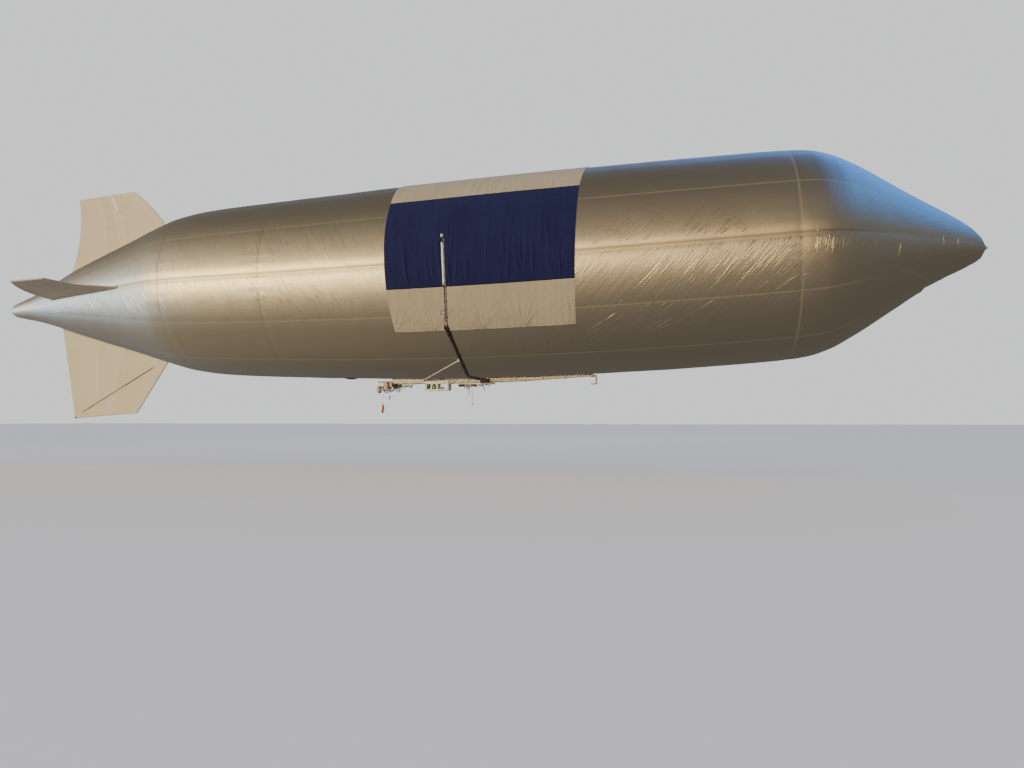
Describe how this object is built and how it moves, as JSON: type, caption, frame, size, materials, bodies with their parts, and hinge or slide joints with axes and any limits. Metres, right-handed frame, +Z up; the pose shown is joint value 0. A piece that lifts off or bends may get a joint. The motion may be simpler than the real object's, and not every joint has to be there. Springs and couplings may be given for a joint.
{
  "type": "unmanned film airship",
  "caption": "Spindle-shaped metallised film airship with cross-set tail fins, a draped cloth banner, a keel spar with slung boxes and an antenna mast on an outrigger.",
  "frame": {"origin": "amidships on the straight line through the hull's length, half-way between nose and tail, where the craft floats", "axes": "+X to the nose, +Y to port, +Z up"},
  "size_m": [28.0923, 7.514, 7.0209],
  "materials": {
    "metal_film": "satin metallised polyester film with tape seams",
    "fin_film": "cream laminated sheet, satin",
    "banner_cream": "cream woven banner cloth",
    "banner_navy": "navy printed banner cloth",
    "cream_paint": "cream paint, satin",
    "white_paint": "white powder coat",
    "carbon_tube": "carbon fibre tube, satin",
    "black_plastic": "black moulded plastic",
    "white_radome": "white glass-fibre tube",
    "grey_cable": "light grey sleeving",
    "red_cloth": "red warning ribbon"
  },
  "bodies": {
    "root": {"envelope": "metal_film", "belly_valve": "black_plastic", "nose_cap": "metal_film", "tail_cap": "metal_film", "mooring_eye": "black_plastic", "fin_upper": "fin_film", "fin_lower": "fin_film", "fin_starboard": "fin_film", "fin_port": "fin_film", "banner_crown": "banner_cream", "banner_panel_starboard": "banner_navy", "banner_hem_starboard": "banner_cream", "banner_panel_port": "banner_navy", "banner_hem_port": "banner_cream", "keel_aft": "cream_paint", "keel_centre": "cream_paint", "keel_front": "cream_paint", "battery_box": "cream_paint", "ballast_box": "cream_paint", "avionics_tray": "black_plastic", "payload_box": "carbon_tube", "centre_saddle": "cream_paint", "trim_unit": "carbon_tube", "front_bracket": "cream_paint", "equipment_frame": "white_paint", "outrigger_arm": "carbon_tube", "outrigger_brace": "cream_paint", "mast_clamp": "black_plastic", "mast": "carbon_tube", "antenna": "white_radome", "antenna_feed": "grey_cable", "mast_bracket": "black_plastic", "receiver_ball": "white_radome", "pin_lanyard": "black_plastic", "ballast_lanyard": "black_plastic", "test_lead": "black_plastic", "sensor_lead": "black_plastic", "sensor_plug": "white_radome", "pin_flag": "red_cloth", "ballast_flag": "red_cloth", "test_plug": "black_plastic"}
  },
  "joints": []
}
